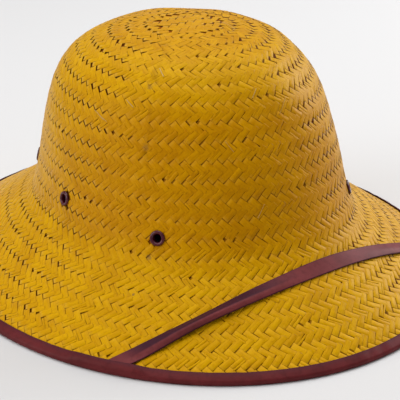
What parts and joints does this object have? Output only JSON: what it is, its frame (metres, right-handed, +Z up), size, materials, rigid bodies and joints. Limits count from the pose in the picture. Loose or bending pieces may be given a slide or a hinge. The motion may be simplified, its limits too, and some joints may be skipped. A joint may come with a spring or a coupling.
{
  "type": "pith helmet",
  "caption": "Woven palm-leaf sun helmet with a domed crown, sloping bound brim, vent eyelets and a strap laid over the front.",
  "frame": {"origin": "on the table, under the middle of the brim's outline", "axes": "the wearer faces -Y, +X is the wearer's left, +Z is up out of the crown"},
  "size_m": [0.3198, 0.3689, 0.1572],
  "materials": {
    "palm_leaf": "painted woven palm leaf, satin",
    "vinyl_binding": "satin vinyl",
    "vinyl_strap": "satin vinyl",
    "enamelled_eyelet": "baked enamel, semi-gloss"
  },
  "bodies": {
    "root": {"woven_shell": "palm_leaf", "brim_binding": "vinyl_binding", "chin_strap": "vinyl_strap", "eyelet_right_front": "enamelled_eyelet", "eyelet_right_middle": "enamelled_eyelet", "eyelet_right_back": "enamelled_eyelet", "eyelet_left_front": "enamelled_eyelet", "eyelet_left_middle": "enamelled_eyelet", "eyelet_left_back": "enamelled_eyelet"}
  },
  "joints": []
}
